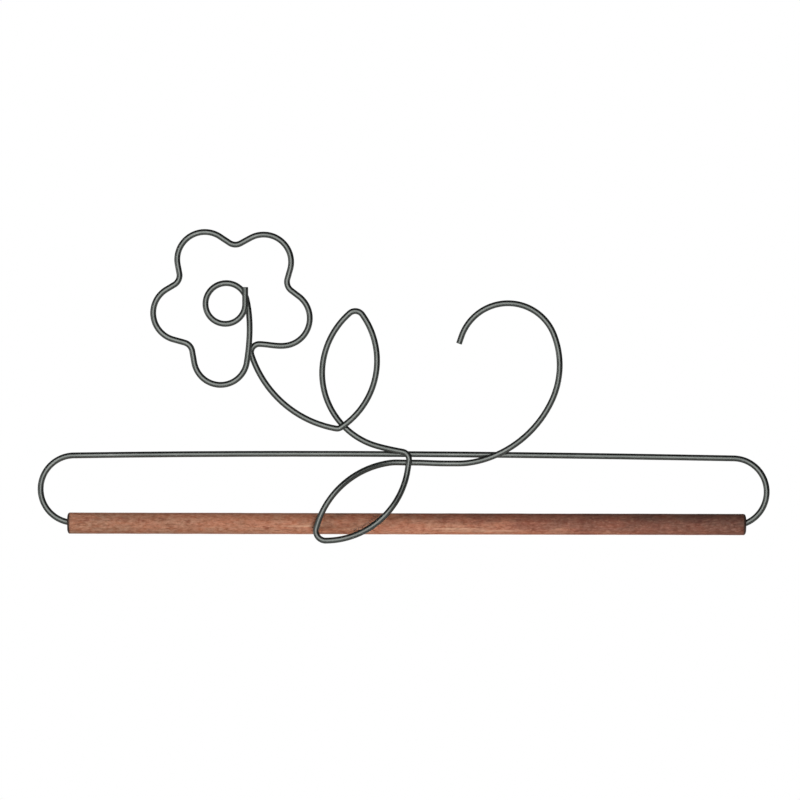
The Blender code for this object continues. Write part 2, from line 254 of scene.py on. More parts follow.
def make_wire(name, points, material):
    """A round wire along the points, with eased cut ends."""
    steps = [CUT_EASE * share for share in CUT_EASE_STEPS]
    first = (points[1] - points[0]).normalized()
    last = (points[-2] - points[-1]).normalized()
    head = [points[0] + step * first for step in steps]
    tail = [points[-1] + step * last for step in reversed(steps)]
    axis = [points[0]] + head + points[1:-1] + tail + [points[-1]]
    curve = bpy.data.curves.new(name + " axis", "CURVE")
    curve.dimensions = "3D"
    spline = curve.splines.new("POLY")
    spline.points.add(len(axis) - 1)
    for spline_point, point in zip(spline.points, axis):
        spline_point.co = (*point, 1.0)
    wire = grown_mesh(
        name, curve, drawn_wire, wire_radius=WIRE_RADIUS, sides=WIRE_SIDES, cut_ease=CUT_EASE,
        cut_face=CUT_FACE, finish=material,
    )
    wire.data.set_sharp_from_angle(angle=math.radians(CUT_RIM_ANGLE))
    return wire


def spread(tree, value, low, high, to_low=0.0, to_high=1.0):
    """A value's way from low to high, drawn out on another scale and held at its ends."""
    return put(tree, "ShaderNodeMapRange", {
        "Value": value, "From Min": low, "From Max": high, "To Min": to_low, "To Max": to_high,
    }).outputs["Result"]


def blobs(tree, vector, size, detail=2.0, roughness=0.5):
    """Soft noise between 0 and 1, in blobs about one size wide."""
    return put(tree, "ShaderNodeTexNoise", {
        "Vector": vector, "Scale": 1 / size, "Detail": detail, "Roughness": roughness,
    }).outputs["Fac"]


def tinted(tree, mask, first, second, how="MIX"):
    """Two colours joined by a mask."""
    return put(
        tree, "ShaderNodeMix", {0: mask, 6: first, 7: second}, data_type="RGBA", blend_type=how,
    ).outputs[2]


def stretched(tree, vector, scale):
    """A vector drawn out along its own axes."""
    return put(
        tree, "ShaderNodeVectorMath", {0: vector, 1: scale}, operation="MULTIPLY"
    ).outputs["Vector"]


def uneven_coat_tree():
    """How a sprayed or wiped coat varies: broad clouds, fine specks and rubbed places."""
    tree = bpy.data.node_groups.new("uneven coat", "ShaderNodeTree")
    open_socket(tree, "Place", "NodeSocketVector")
    open_socket(tree, "Cloud size", "NodeSocketFloat")
    open_socket(tree, "Speck size", "NodeSocketFloat")
    for name in ("Cloud", "Speck", "Rub"):
        open_socket(tree, name, "NodeSocketFloat", "OUTPUT")
    given = put(tree, "NodeGroupInput").outputs
    cloud = put(tree, "ShaderNodeTexNoise", {
        "Vector": given["Place"],
        "Scale": calc(tree, "DIVIDE", 1.0, given["Cloud size"]),
        "Detail": 3.0,
    }).outputs["Fac"]
    speck = put(tree, "ShaderNodeTexNoise", {
        "Vector": given["Place"],
        "Scale": calc(tree, "DIVIDE", 1.0, given["Speck size"]),
        "Detail": 1.0,
    }).outputs["Fac"]
    cloud_mask = spread(tree, cloud, 0.3, 0.7)
    speck_mask = spread(tree, speck, 0.55, 0.72)
    worn = spread(tree, cloud, 0.56, 0.70)
    rub_mask = calc(tree, "MULTIPLY", worn, spread(tree, speck, 0.4, 0.6))
    put(tree, "NodeGroupOutput", {"Cloud": cloud_mask, "Speck": speck_mask, "Rub": rub_mask})
    return tree


uneven_coat = uneven_coat_tree()
PAINT_DARK = (0.180, 0.195, 0.183, 1)
PAINT_PALE = (0.225, 0.241, 0.226, 1)
PAINT_FLECK = (0.28, 0.29, 0.275, 1)
BARE_STEEL = (0.34, 0.34, 0.33, 1)
GRAZING_TINT = (0.3, 0.3, 0.3, 1)
PAINT_CLOUD = 14 * MM
PAINT_SPECK = 0.5 * MM
PAINT_GRAIN = 0.3 * MM
PAINT_BUMP = 0.03 * MM
DIE_MARK_LENGTH = 25 * MM
DIE_MARKS_AROUND = 6


def pewter_paint():
    """Satin pewter grey paint, thin enough to show the marks of the die along the wire."""
    material = bpy.data.materials.new("pewter_paint")
    material.use_nodes = True
    tree = material.node_tree
    shader = tree.nodes["Principled BSDF"]
    place = put(tree, "ShaderNodeTexCoord").outputs["Object"]
    coat = put(tree, "ShaderNodeGroup", {
        "Place": place, "Cloud size": PAINT_CLOUD, "Speck size": PAINT_SPECK,
    }, node_tree=uneven_coat).outputs
    along = put(tree, "ShaderNodeAttribute", attribute_name="along").outputs["Fac"]
    section = put(tree, "ShaderNodeAttribute", attribute_name="section").outputs["Vector"]
    lengthwise = put(tree, "ShaderNodeCombineXYZ", {"Z": along}).outputs["Vector"]
    drawn_out = put(tree, "ShaderNodeVectorMath", {
        0: stretched(tree, lengthwise, (0, 0, 1 / DIE_MARK_LENGTH)),
        1: stretched(tree, section, (DIE_MARKS_AROUND, DIE_MARKS_AROUND, 0)),
    }, operation="ADD").outputs["Vector"]
    die_marks = blobs(tree, drawn_out, 1.0)
    grain = blobs(tree, place, PAINT_GRAIN, detail=1.0)
    plain = tinted(tree, coat["Cloud"], PAINT_DARK, PAINT_PALE)
    flecked = tinted(tree, calc(tree, "MULTIPLY", coat["Speck"], 0.5), plain, PAINT_FLECK)
    bare = calc(tree, "MULTIPLY", coat["Rub"], spread(tree, die_marks, 0.5, 0.62))
    shown = tinted(tree, calc(tree, "MULTIPLY", bare, 0.6), flecked, BARE_STEEL)
    dull = spread(tree, coat["Cloud"], 0.0, 1.0, 0.32, 0.27)
    shine = calc(tree, "MULTIPLY_ADD", bare, -0.12, dull)
    height = calc(tree, "MULTIPLY_ADD", die_marks, 0.7, calc(tree, "MULTIPLY", grain, 0.2))
    bump = put(tree, "ShaderNodeBump", {
        "Height": height, "Strength": 0.15, "Distance": PAINT_BUMP,
    }).outputs["Normal"]
    shader.inputs["Metallic"].default_value = 0.97
    shader.inputs["Specular Tint"].default_value = GRAZING_TINT
    shader.inputs["Specular IOR Level"].default_value = 0.3
    tree.links.new(shown, shader.inputs["Base Color"])
    tree.links.new(shine, shader.inputs["Roughness"])
    tree.links.new(bump, shader.inputs["Normal"])
    return material


paint = pewter_paint()


def bow_stretches():
    """Pin, end bend, crowned top wire, end bend and pin, from left to right."""
    crown_angle = 2 * math.degrees(math.atan(CROWN_RISE / BEND_X))
    left_pin_z = DOWEL_AXIS.z + LEFT_PIN_HEIGHT
    right_pin_z = DOWEL_AXIS.z + RIGHT_PIN_HEIGHT
    left_centre = Vector((-BEND_X, left_pin_z + BEND_RADIUS))
    right_centre = Vector((BEND_X, right_pin_z + BEND_RADIUS))
    return [
        Straight((PIN_LENGTH - BEND_X, left_pin_z), 180, PIN_LENGTH, BACK),
        Bend(left_centre, BEND_RADIUS, 270, 90 + crown_angle, BACK),
        Bend(right_centre, BEND_RADIUS, 90 - crown_angle, -90, BACK),
        Straight((BEND_X, right_pin_z), 180, PIN_LENGTH, BACK),
    ]


bow_axis = route(bow_stretches())
bow_wire = make_wire("bow_wire", bow_axis, paint)
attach(bow_wire, "frame")
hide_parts("bow")

# Ornament
# One length of the same wire, bent on a jig from the curl's free end to the cut tip on the ring.
# It is spot welded to the bow and to itself, and painted with it.
LOWER_LEAF_DEPTH = -8.1 * MM
PETAL_RADIUS = 12.35 * MM
VALLEY_RADIUS = 4.85 * MM
VALLEY_FLANKS = (4.35, 5.05, 4.05, 5.2)
PETAL_REACHES = (23.55, 23.5, 23.25, 23.3, 24.7)
FIRST_PETAL_ANGLE = -16.0
PETAL_STEP_ANGLE = 68.8
PETAL_START_ANGLE = -80.0
LAST_PETAL_TURN = -140
LAST_PETAL_END = -8.5
FLOWER_OFFSET = Vector((-12.4, 21.8)) * MM
RING_OFFSET = Vector((-2.45, -0.1)) * MM
RING_START_ANGLE = 13.4
RING_TAIL = 7.6 * MM
CURL_TIP_ANGLE = 161
CURL_TIP_LENGTH = 3.5 * MM


def from_top_wire(place):
    """A place in millimetres from the middle of the top wire, as X and Z in the frame."""
    return Vector((place[0] * MM, place[1] * MM + TOP_WIRE_Z))


def compound(centre, start, steps):
    """Bends that run into each other, each as (radius in mm, angle where it ends, depth)."""
    bends = []
    for radius, end, depth in steps:
        if bends:
            centre = centre + (bends[-1].radius - radius * MM) * unit(start)
        bends.append(Bend(centre.copy(), radius * MM, start, end, depth))
        start = end
    return bends


curl = compound(from_top_wire((46.7, 45.7)), CURL_TIP_ANGLE, [
    (22.1, 21.7, FRONT),
    (37.6, -24.9, FRONT),
    (49.4, -68.8, FRONT),
])
tip_heading = CURL_TIP_ANGLE - 90
bend_start = curl[0].centre + curl[0].radius * unit(CURL_TIP_ANGLE)
curl_end = bend_start - CURL_TIP_LENGTH * unit(tip_heading)
curl_tip = [Straight(curl_end, tip_heading, CURL_TIP_LENGTH, FRONT)]
run_under_bow = [
    Straight(from_top_wire((24.3, -4.15)), 180, 6 * MM, None),
    Straight(from_top_wire((5, -3.8)), 180, 4 * MM, BACK),
]
lower_leaf = compound(from_top_wire((-0.8, -43.15)), 98, [
    (39.6, 150, None),
    (39.6, 165.6, LOWER_LEAF_DEPTH),
    (4.4, 270.5, LOWER_LEAF_DEPTH),
    (37.4, 315, LOWER_LEAF_DEPTH),
    (37.4, 352, None),
])
hop_over_bow = compound(from_top_wire((-1.2, -2.45)), -8, [(3.6, 80, FRONT)])
upper_leaf = compound(from_top_wire((-3.1, 35.7)), 255, [
    (33.3, 231.5, None),
    (34.1, 219, BACK),
    (34.1, 170, None),
    (36.4, 131.5, None),
    (3.9, 35.5, None),
    (35.7, -44, None),
    (35.7, -57, FRONT),
    (3.0, -100, FRONT),
    (48.9, -112, FRONT),
    (48.9, -150, None),
    (48.9, -161.9, BACK),
    (3.75, -272, BACK),
])
flower_centre = upper_leaf[-1].centre + FLOWER_OFFSET


def angle_of(vector):
    """The angle of a vector of X and Z, in degrees from 0 to 360."""
    return math.degrees(math.atan2(vector.y, vector.x)) % 360


def flower_bends():
    """Five petals and four tight valleys with straight flanks, the last petal drawn in."""
    petals = []
    for i, reach in enumerate(PETAL_REACHES):
        way = unit(FIRST_PETAL_ANGLE + PETAL_STEP_ANGLE * i)
        petals.append(flower_centre + reach * MM * way)
    bends = []
    start = PETAL_START_ANGLE
    for petal, following, flank in zip(petals, petals[1:], VALLEY_FLANKS):
        across = following - petal
        outward = Vector((across.y, -across.x)).normalized()
        reach = math.hypot(PETAL_RADIUS + VALLEY_RADIUS, flank * MM)
        outset = math.sqrt(reach ** 2 - (across.length / 2) ** 2)
        valley = (petal + following) / 2 + outset * outward
        flank_angle = math.degrees(math.asin(flank * MM / reach))
        petal_end = angle_of(valley - petal) - flank_angle
        petal_end += 360 * math.ceil((start - petal_end) / 360)
        valley_start = petal_end + 180
        valley_end = angle_of(following - valley) + flank_angle
        valley_end += 360 * math.floor((valley_start - valley_end) / 360)
        bends.append(Bend(petal, PETAL_RADIUS, start, petal_end, None if bends else BACK))
        bends.append(Bend(valley, VALLEY_RADIUS, valley_start, valley_end, None))
        start = valley_end + 180
    turns = 360 * math.ceil((start - LAST_PETAL_TURN) / 360)
    last_petal = [
        (12.35, turns + LAST_PETAL_TURN, FRONT),
        (11.9, turns + LAST_PETAL_END, FRONT),
    ]
    return bends + compound(petals[-1], start, last_petal)


def ring_stretches():
    """The ring in the flower's middle, one turn that ends as a cut tip in front of its start."""
    ring = compound(flower_centre + RING_OFFSET, RING_START_ANGLE, [
        (9.3, 45, FRONT),
        (9.3, 192, None),
        (8.9, 300, None),
        (8.9, 360, 2 * FRONT),
    ])
    tail = ring[-1].centre + ring[-1].radius * unit(0)
    return ring + [Straight(tail, 90, RING_TAIL, 2 * FRONT)]


ornament_axis = route(
    curl_tip + curl + run_under_bow + lower_leaf + hop_over_bow + upper_leaf + flower_bends()
    + ring_stretches()
)
ornament_wire = make_wire("ornament_wire", ornament_axis, paint)
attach(ornament_wire, "frame")
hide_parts("ornament")

# Spot welds
# Where two wires cross or lie side by side they are pressed together between copper electrodes.
# The steel swells into a small lens in the gap and the paint runs over it.
WELD_PLACES = ((41.8, 0.0), (0.6, 0.1), (2.1, -3.8), (-27.1, 12.8), (-69.2, 45.6), (-71.0, 70.1))
WELD_REACH = 3.0 * MM
WELD_HALF_WIDTH = 0.85 * MM
WELD_SINK = 0.45 * MM
WELD_LEAST_CROSSING = 0.3
WELD_SEARCH_STEP = 0.3 * MM
WELD_FINENESS = 5
WELD_LUMP_HEIGHT = 0.25 * MM
WELD_LUMP_SIZE = 0.6 * MM


def wires_near(place):
    """The passes of wire near a place, each as a list of points with the wire's direction."""
    passes = []
    for axis in (bow_axis, ornament_axis):
        for before, point, after in zip(axis, axis[1:], axis[2:]):
            steps = max(1, math.ceil((after - point).length / WELD_SEARCH_STEP))
            for i in range(steps):
                step = point.lerp(after, i / steps)
                if (Vector((step.x, step.z)) - place).length > WELD_REACH:
                    continue
                if not passes or (step - passes[-1][-1][0]).length > WELD_REACH:
                    passes.append([])
                passes[-1].append((step, (after - before).normalized()))
    return passes


def weld_between(place):
    """Where two passes come closest: the middle, the way across, the way along and half sizes."""
    pairs = []
    passes = wires_near(from_top_wire(place))
    for i, near in enumerate(passes):
        for far in passes[i + 1:]:
            for first in near:
                for second in far:
                    pairs.append(((first[0] - second[0]).length, first, second))
    gap, first, second = min(pairs, key=lambda pair: pair[0])
    along = first[1] + math.copysign(1, first[1].dot(second[1])) * second[1]
    crossing = max(first[1].cross(second[1]).length, WELD_LEAST_CROSSING)
    half_gap = max(gap - 2 * WIRE_RADIUS, 0) / 2
    sizes = Vector((WELD_HALF_WIDTH / crossing, WELD_HALF_WIDTH, half_gap + WELD_SINK))
    middle = (first[0] + second[0]) / 2
    return middle, (first[0] - second[0]).normalized(), along.normalized(), sizes


def weld_tree():
    """A lumpy lens on each point, turned and sized by the point's own marks."""
    tree = bpy.data.node_groups.new("spot welds", "GeometryNodeTree")
    open_socket(tree, "Places", "NodeSocketGeometry")
    open_socket(tree, "Fineness", "NodeSocketInt")
    open_socket(tree, "Lump height", "NodeSocketFloat")
    open_socket(tree, "Lump size", "NodeSocketFloat")
    open_socket(tree, "Finish", "NodeSocketMaterial")
    open_socket(tree, "Welds", "NodeSocketGeometry", "OUTPUT")
    given = put(tree, "NodeGroupInput").outputs
    marks = {}
    for name in ("across", "along", "sizes"):
        marks[name] = put(
            tree, "GeometryNodeInputNamedAttribute", {"Name": name}, data_type="FLOAT_VECTOR"
        ).outputs["Attribute"]
    ball = put(tree, "GeometryNodeMeshIcoSphere", {
        "Radius": 1.0,
        "Subdivisions": given["Fineness"],
    })
    turn = put(tree, "FunctionNodeAxesToRotation", {
        "Primary Axis": marks["across"],
        "Secondary Axis": marks["along"],
    }, primary_axis="Z", secondary_axis="X")
    lenses = put(tree, "GeometryNodeInstanceOnPoints", {
        "Points": given["Places"],
        "Instance": ball.outputs["Mesh"],
        "Rotation": turn.outputs["Rotation"],
        "Scale": marks["sizes"],
    })
    realize = put(tree, "GeometryNodeRealizeInstances", {"Geometry": lenses.outputs["Instances"]})
    place = put(tree, "GeometryNodeInputPosition").outputs["Position"]
    lumps = put(tree, "ShaderNodeTexNoise", {
        "Vector": place,
        "Scale": calc(tree, "DIVIDE", 1.0, given["Lump size"]),
    }).outputs["Fac"]
    swell = calc(tree, "MULTIPLY", calc(tree, "SUBTRACT", lumps, 0.5), given["Lump height"])
    outward = put(tree, "GeometryNodeInputNormal").outputs["Normal"]
    push = put(tree, "ShaderNodeVectorMath", {0: outward, "Scale": swell}, operation="SCALE")
    moved = put(tree, "GeometryNodeSetPosition", {
        "Geometry": realize.outputs["Geometry"],
        "Offset": push.outputs["Vector"],
    })
    smooth = put(tree, "GeometryNodeSetShadeSmooth", {"Geometry": moved.outputs["Geometry"]})
    finish = put(tree, "GeometryNodeSetMaterial", {
        "Geometry": smooth.outputs["Geometry"],
        "Material": given["Finish"],
    })
    put(tree, "NodeGroupOutput", {"Welds": finish.outputs["Geometry"]})
    return tree


welds = [weld_between(place) for place in WELD_PLACES]
weld_points = bpy.data.meshes.new("weld points")
weld_points.from_pydata([weld[0] for weld in welds], [], [])
for k, mark in enumerate(("across", "along", "sizes")):
    layer = weld_points.attributes.new(mark, "FLOAT_VECTOR", "POINT")
    for value, weld in zip(layer.data, welds):
        value.vector = weld[k + 1]
spot_welds = grown_mesh(
    "spot_welds", weld_points, weld_tree(), fineness=WELD_FINENESS,
    lump_height=WELD_LUMP_HEIGHT, lump_size=WELD_LUMP_SIZE, finish=paint,
)
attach(spot_welds, "frame")

# Dowel
# A turned hardwood rod, cut to length, its ends rounded on a belt and drilled, then wiped with a
# red brown stain that took darker towards the right end. It hangs on the bow's two tips.
DOWEL_RADIUS = 4.7625 * MM
DOWEL_HALF = 152.4 * MM
HOLE_RADIUS = 2.456 * MM
HOLE_DEPTH = 13.4 * MM
HOLE_LIP = 0.2 * MM
DRILL_POINT_HALF_ANGLE = 59
END_ROUNDING = 1.1 * MM
TURNING_WAVE = 0.05 * MM
TURNING_WAVE_LENGTH = 9.0 * MM
DOWEL_SIDES = 96
DOWEL_RINGS = 120
END_RINGS = 9
HOLE_RIM_ANGLE = 40


def dowel_profile():
    """Half of the dowel's section, from the hole outwards, as (distance along, radius)."""
    drill_point = HOLE_RADIUS / math.tan(math.radians(DRILL_POINT_HALF_ANGLE))
    lip_radius = HOLE_RADIUS + HOLE_LIP
    profile = [
        (DOWEL_HALF - HOLE_DEPTH - drill_point, 0.0),
        (DOWEL_HALF - HOLE_DEPTH, HOLE_RADIUS),
        (DOWEL_HALF - HOLE_LIP, HOLE_RADIUS),
        (DOWEL_HALF, lip_radius),
    ]
    for i in range(1, END_RINGS + 1):
        turn = unit(90 * (1 - i / END_RINGS))
        profile.append((
            DOWEL_HALF - END_ROUNDING * (1 - turn.y),
            lip_radius + (DOWEL_RADIUS - lip_radius) * turn.x,
        ))
    reach = DOWEL_HALF - END_ROUNDING
    for i in range(1, DOWEL_RINGS // 2):
        profile.append((reach * (1 - 2 * i / DOWEL_RINGS), DOWEL_RADIUS))
    return profile


def turned_point(x, radius, way):
    """A point on the rod, where the lathe's tool left the round face very slightly wavy."""
    place = Vector((x, radius * way.x, radius * way.y))
    if radius > DOWEL_RADIUS - TOLERANCE:
        wave = noise.noise(place / TURNING_WAVE_LENGTH)
        place.yz *= 1 + TURNING_WAVE * wave / radius
    return place + DOWEL_AXIS


def make_dowel(material):
    """The dowel's mesh, turned about its axis along X."""
    half = dowel_profile()
    profile = half + [(0.0, DOWEL_RADIUS)] + [(-x, radius) for x, radius in reversed(half)]
    mesh = bpy.data.meshes.new("dowel_rod")
    shape = bmesh.new()
    rings = []
    for x, radius in profile:
        count = DOWEL_SIDES if radius > 0 else 1
        ways = [unit(360 * k / DOWEL_SIDES) for k in range(count)]
        rings.append([shape.verts.new(turned_point(x, radius, way)) for way in ways])
    for near, far in zip(rings, rings[1:]):
        for k in range(DOWEL_SIDES):
            corners = [
                near[k % len(near)],
                near[(k + 1) % len(near)],
                far[(k + 1) % len(far)],
                far[k % len(far)],
            ]
            shape.faces.new(list(dict.fromkeys(corners)))
    bmesh.ops.recalc_face_normals(shape, faces=shape.faces)
    shape.to_mesh(mesh)
    shape.free()
    mesh.shade_smooth()
    mesh.set_sharp_from_angle(angle=math.radians(HOLE_RIM_ANGLE))
    mesh.materials.append(material)
    dowel = bpy.data.objects.new("dowel_rod", mesh)
    bpy.context.scene.collection.objects.link(dowel)
    return dowel


# The stain's colour at places along the rod, from its left end to its right end.
STAIN_STOPS = (
    (0.00, (0.345, 0.170, 0.107)),
    (0.30, (0.415, 0.188, 0.115)),
    (0.52, (0.390, 0.172, 0.105)),
    (0.72, (0.245, 0.094, 0.060)),
    (1.00, (0.138, 0.061, 0.043)),
)
# The stain ramp slides with height, so the rod's upper side is darker: painted shade for light
# that comes from below.
TOP_SHADE_SLANT = 6
STAIN_PATCH = 0.2

# Marks on the rod's front: distance right of its middle, height over it and radius, in mm.
PIN_KNOTS = (
    (-143.5, 1.6, 1.3), (-127.0, 1.9, 1.9), (-119.5, 1.5, 1.6), (-109.5, 1.8, 1.5),
    (-98.0, 1.0, 1.2), (-63.0, -1.9, 1.1), (-24.6, 2.6, 1.5), (-2.2, -1.4, 0.9),
    (31.0, 2.4, 1.2), (78.0, 1.2, 1.4), (112.0, -0.6, 1.6), (131.0, 1.5, 1.8),
)
# Pale streaks along the grain. The two low ones right of the middle also paint the sheen along
# the rod's lower side, a painted highlight.
PALE_STREAKS_AND_SHEEN = ((36.0, -3.1, 0.7), (22.0, -2.3, 0.4), (-46.6, -1.1, 0.4), (-94.0, 2.1, 0.4))
KNOT_STRETCH = 0.6
STREAK_STRETCH = 0.035
KNOT_UNEVENNESS = 2.2 * MM
STREAK_UNEVENNESS = 1.6 * MM
MARK_CORE = 0.2

# The tree's pith lies outside the rod, in front of it and above, so its rings are shallow arcs.
PITH_Y = -11 * MM
PITH_Z = 9 * MM
YEAR_WIDTH = 1.5 * MM
YEAR_WANDER = 14.0
# The rod goes near black within a millimetre of its ends. End grain takes the stain darker, and
# the near black also paints the shade on the rounded ends.
END_DARK_WANDER = 0.8 * MM
END_DARK_FROM = 1.0 * MM
END_DARK_TO = 0.4 * MM
WOOD_BUMP = 0.06 * MM

# Colours that multiply the stain, and colours that cover it.
RED_STAIN = (1.0, 0.96, 0.93, 1)
BROWN_STAIN = (0.96, 1.05, 1.06, 1)
MOTTLED_STAIN = (0.70, 0.52, 0.42, 1)
KNOTTED_STAIN = (0.66, 0.48, 0.44, 1)
DENSE_STAIN = (0.45, 0.34, 0.29, 1)
# Pale wood of the streaks, which is partly grain and partly painted sheen low on the rod.
PALE_WOOD_AND_SHEEN = (0.50, 0.31, 0.20, 1)
FLECK_WOOD = (0.60, 0.32, 0.21, 1)
OPEN_PORE = (0.05, 0.025, 0.018, 1)
# The near black of the ends, partly end grain and partly painted shade on their rounded rims.
END_GRAIN_AND_SHADE = (0.030, 0.015, 0.011, 1)


def stain_ramp(tree, share):
    """The stain's colour at a share of the rod's length."""
    ramp = put(tree, "ShaderNodeValToRGB", {"Fac": share})
    elements = ramp.color_ramp.elements
    while len(elements) < len(STAIN_STOPS):
        elements.new(0.5)
    for element, (position, colour) in zip(elements, STAIN_STOPS):
        element.position = position
        element.color = (*colour, 1)
    return ramp.outputs["Color"]


def marks_in_wood(tree, place, wander, spots, stretch, unevenness):
    """A mask of marks on the rod's front, drawn out along it and with uneven rims."""
    marks = 0.0
    lengthwise = (stretch, 1, 1)
    swing = calc(tree, "SUBTRACT", wander, 0.5)
    for x, height, radius in spots:
        depth = -math.sqrt(DOWEL_RADIUS ** 2 - (height * MM) ** 2)
        middle = put(tree, "ShaderNodeVectorMath", {
            0: place, 1: (x * MM, depth, height * MM),
        }, operation="SUBTRACT").outputs["Vector"]
        drawn_out = stretched(tree, middle, lengthwise)
        reach = put(
            tree, "ShaderNodeVectorMath", {0: drawn_out}, operation="LENGTH"
        ).outputs["Value"]
        uneven = calc(tree, "MULTIPLY_ADD", swing, unevenness, reach)
        mark = spread(tree, uneven, radius * MM, MARK_CORE * radius * MM)
        marks = calc(tree, "MAXIMUM", marks, mark)
    return marks


def stained_wood():
    """Red brown stain on a close grained hardwood, in the wood's own solid pattern, with painted
    shade on the rod's top and ends and a painted highlight in pale streaks low on its front.
    """
    material = bpy.data.materials.new("stained_wood")
    material.use_nodes = True
    tree = material.node_tree
    shader = tree.nodes["Principled BSDF"]
    spot = put(tree, "ShaderNodeTexCoord").outputs["Object"]
    place = put(
        tree, "ShaderNodeVectorMath", {0: spot, 1: tuple(DOWEL_AXIS)}, operation="SUBTRACT"
    ).outputs["Vector"]
    grain = put(tree, "ShaderNodeMapping", {
        "Vector": place,
        "Rotation": (0, math.radians(1.5), math.radians(-1)),
    }).outputs["Vector"]
    figure = put(tree, "ShaderNodeMapping", {
        "Vector": place,
        "Rotation": (0, math.radians(-5), math.radians(3)),
    }).outputs["Vector"]
    coat = put(tree, "ShaderNodeGroup", {
        "Place": stretched(tree, grain, (0.4, 1, 1)),
        "Cloud size": 5 * MM,
        "Speck size": 0.6 * MM,
    }, node_tree=uneven_coat).outputs
    across = put(tree, "ShaderNodeSeparateXYZ", {0: grain}).outputs
    wander = blobs(tree, stretched(tree, grain, (0.12, 1, 1)), 4 * MM)
    back = calc(tree, "POWER", calc(tree, "SUBTRACT", across["Y"], PITH_Y), 2.0)
    up = calc(tree, "POWER", calc(tree, "SUBTRACT", across["Z"], PITH_Z), 2.0)
    from_pith = calc(tree, "SQRT", calc(tree, "ADD", back, up))
    sway = calc(tree, "MULTIPLY", wander, YEAR_WANDER)
    year = calc(tree, "MULTIPLY_ADD", from_pith, 2 * math.pi / YEAR_WIDTH, sway)
    late_wood = spread(tree, calc(tree, "SINE", year), 0.1, 1.0)
    fibre = blobs(tree, stretched(tree, grain, (0.22, 1, 1)), 0.45 * MM, 3.0, 0.65)
    fleck = blobs(tree, stretched(tree, grain, (0.4, 1, 1)), 0.8 * MM, 2.0, 0.6)
    tube = blobs(tree, stretched(tree, grain, (0.05, 1, 1)), 0.2 * MM, 1.0)
    pores = spread(tree, tube, 0.60, 0.70)
    middle = put(tree, "ShaderNodeSeparateXYZ", {0: place}).outputs
    # Height slides the stain ramp and darkens the rod's upper side as painted shade.
    along_and_top_shade = calc(tree, "MULTIPLY_ADD", middle["Z"], TOP_SHADE_SLANT, middle["X"])
    share = spread(tree, along_and_top_shade, -DOWEL_HALF, DOWEL_HALF)
    patch = calc(tree, "MULTIPLY", calc(tree, "SUBTRACT", coat["Cloud"], 0.5), STAIN_PATCH)
    stain = stain_ramp(tree, calc(tree, "ADD", share, patch))
    mottle = blobs(tree, stretched(tree, figure, (0.6, 1, 1)), 1.3 * MM, 4.0, 0.7)
    hue = blobs(tree, stretched(tree, figure, (0.4, 1, 1)), 3.2 * MM, 2.0, 0.5)
    hued = tinted(
        tree, spread(tree, hue, 0.42, 0.60),
        tinted(tree, 1.0, stain, RED_STAIN, "MULTIPLY"),
        tinted(tree, 1.0, stain, BROWN_STAIN, "MULTIPLY"),
    )
    mottles = spread(tree, mottle, 0.42, 0.62, 0.0, 0.85)
    mottled = tinted(tree, mottles, hued, MOTTLED_STAIN, "MULTIPLY")
    rough_rim = blobs(tree, stretched(tree, figure, (0.7, 1, 1)), 1.1 * MM)
    knots = marks_in_wood(tree, place, rough_rim, PIN_KNOTS, KNOT_STRETCH, KNOT_UNEVENNESS)
    knotted = tinted(
        tree, calc(tree, "MULTIPLY", knots, 0.75), mottled, KNOTTED_STAIN, "MULTIPLY"
    )
    # Pale streaks, partly grain and partly a painted highlight along the rod's lower side.
    pale = marks_in_wood(tree, place, wander, PALE_STREAKS_AND_SHEEN, STREAK_STRETCH, STREAK_UNEVENNESS)
    paled_and_sheened = tinted(tree, calc(tree, "MULTIPLY", pale, 0.55), knotted, PALE_WOOD_AND_SHEEN)
    ringed = tinted(tree, calc(tree, "MULTIPLY", late_wood, 0.2), paled_and_sheened, DENSE_STAIN, "MULTIPLY")
    fibres = spread(tree, fibre, 0.42, 0.70, 0.0, 0.6)
    streaked = tinted(tree, fibres, ringed, DENSE_STAIN, "MULTIPLY")
    flecked = tinted(tree, spread(tree, fleck, 0.54, 0.70, 0.0, 0.15), streaked, FLECK_WOOD)
    pored = tinted(tree, calc(tree, "MULTIPLY", pores, 0.5), flecked, OPEN_PORE)
    # The ends go near black, partly end grain and partly painted shade on the rounded rims.
    from_middle = calc(tree, "ABSOLUTE", middle["X"])
    end_dark_reach = calc(tree, "MULTIPLY_ADD", wander, END_DARK_WANDER, from_middle)
    end_grain_and_shade_mask = spread(
        tree, end_dark_reach, DOWEL_HALF - END_DARK_FROM, DOWEL_HALF - END_DARK_TO, 0.0, 0.94
    )
    ended_and_shaded = tinted(tree, end_grain_and_shade_mask, pored, END_GRAIN_AND_SHADE)
    height = calc(
        tree, "SUBTRACT",
        calc(tree, "MULTIPLY", fibre, 0.5),
        calc(tree, "MULTIPLY", pores, 0.5),
    )
    bump = put(tree, "ShaderNodeBump", {
        "Height": height, "Strength": 0.5, "Distance": WOOD_BUMP,
    }).outputs["Normal"]
    shader.inputs["Specular IOR Level"].default_value = 0.3
    tree.links.new(ended_and_shaded, shader.inputs["Base Color"])
    tree.links.new(spread(tree, coat["Cloud"], 0, 1, 0.52, 0.66), shader.inputs["Roughness"])
    tree.links.new(bump, shader.inputs["Normal"])
    return material


dowel_rod = make_dowel(stained_wood())
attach(dowel_rod, "dowel")
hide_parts("dowel")

